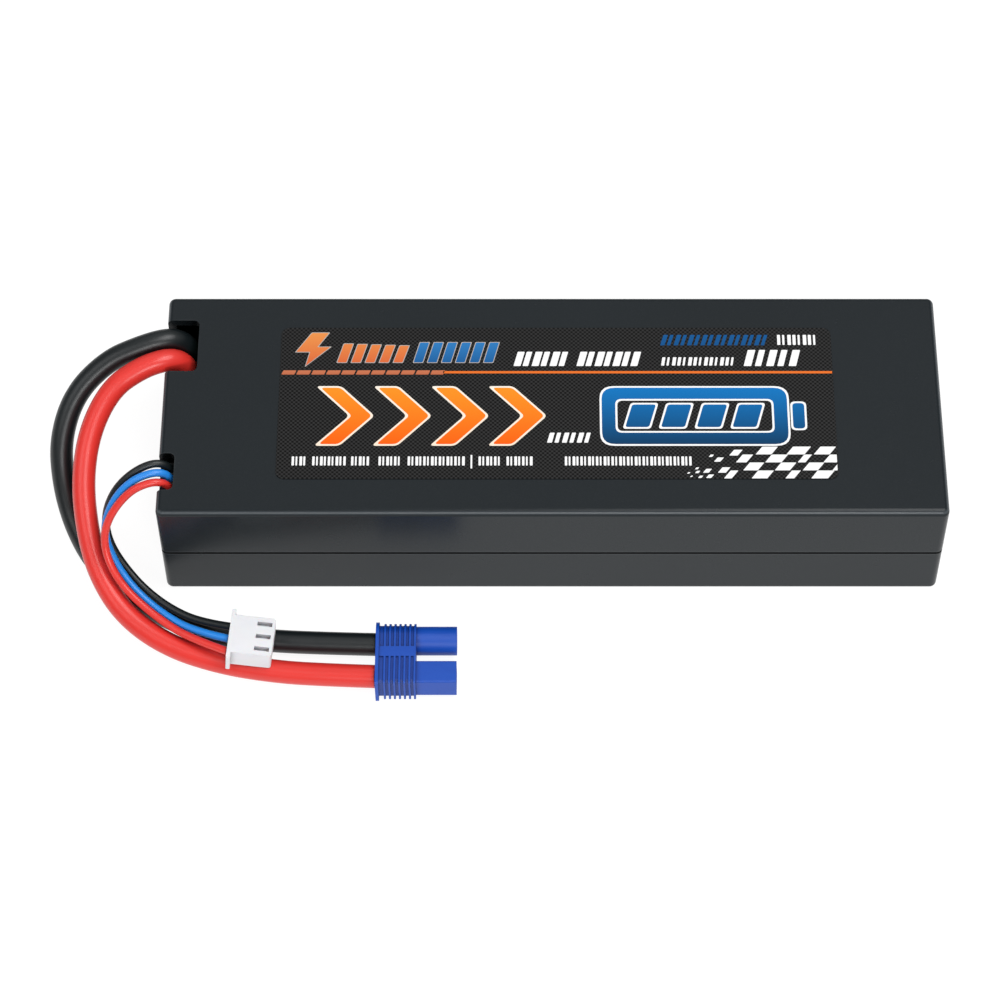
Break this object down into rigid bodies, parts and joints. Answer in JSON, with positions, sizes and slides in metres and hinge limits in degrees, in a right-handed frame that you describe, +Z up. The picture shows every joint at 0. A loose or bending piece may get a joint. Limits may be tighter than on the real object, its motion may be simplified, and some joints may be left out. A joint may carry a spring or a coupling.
{
  "type": "lithium polymer battery pack",
  "caption": "Hard-case rectangular battery pack with a top label, thick power leads ending in a blue ribbed connector and thin balance leads ending in a white connector.",
  "frame": {"origin": "centre of the case's flat underside", "axes": "+X along the length, away from the end where the leads leave; +Y across the width; +Z up out of the labelled face"},
  "size_m": [0.1593, 0.0699, 0.0256],
  "materials": {
    "case_plastic": "fine satin moulded texture, charcoal",
    "label_film": "satin printed film",
    "pouch_foil": "dull laminated foil",
    "tab_film": "heat-sealed polymer film",
    "tab_aluminium": "rolled strip",
    "tab_nickel": "nickel-plated copper strip",
    "tape_white": "double-sided tape",
    "foam_grey": "closed-cell foam",
    "board_green": "solder-masked board",
    "fibre_sheet": "vulcanised fibre sheet",
    "solder": "solidified solder",
    "tinned_copper": "tinned strands",
    "sealant_black": "cured silicone",
    "lead_black": "silicone insulation, satin",
    "lead_red": "silicone insulation, satin",
    "lead_blue": "silicone insulation, satin",
    "connector_blue": "moulded nylon, satin",
    "contact_gold": "gold-plated brass",
    "connector_white": "moulded nylon, slightly translucent",
    "contact_tin": "tin-plated phosphor bronze"
  },
  "bodies": {
    "root": {"case_bottom": "case_plastic", "case_top": "case_plastic", "top_label": "label_film", "cell_pouch_lower": "pouch_foil", "cell_pouch_upper": "pouch_foil", "tab_films_lower": "tab_film", "tab_films_upper": "tab_film", "cell_tab_positive_lower": "tab_aluminium", "cell_tab_positive_upper": "tab_aluminium", "cell_tab_negative_lower": "tab_nickel", "cell_tab_negative_upper": "tab_nickel", "cell_tape": "tape_white", "foam_sheet_bottom": "foam_grey", "foam_pad_top": "foam_grey", "foam_block_end": "foam_grey", "tab_board": "board_green", "series_link": "tab_nickel", "insulation_sheet": "fibre_sheet", "power_connector_housing": "connector_blue", "socket_contact_negative": "contact_gold", "socket_contact_positive": "contact_gold", "balance_connector_housing": "connector_white", "crimp_contact_negative": "contact_tin", "crimp_contact_middle": "contact_tin", "crimp_contact_positive": "contact_tin", "power_lead_negative": "lead_black", "power_lead_positive": "lead_red", "balance_lead_negative": "lead_black", "balance_lead_middle": "lead_blue", "balance_lead_positive": "lead_red", "power_lead_cores": "tinned_copper", "balance_lead_cores": "tinned_copper", "power_solder_joints": "solder", "balance_solder_joints": "solder", "power_lead_seal": "sealant_black", "balance_lead_seal": "sealant_black"}
  },
  "joints": []
}
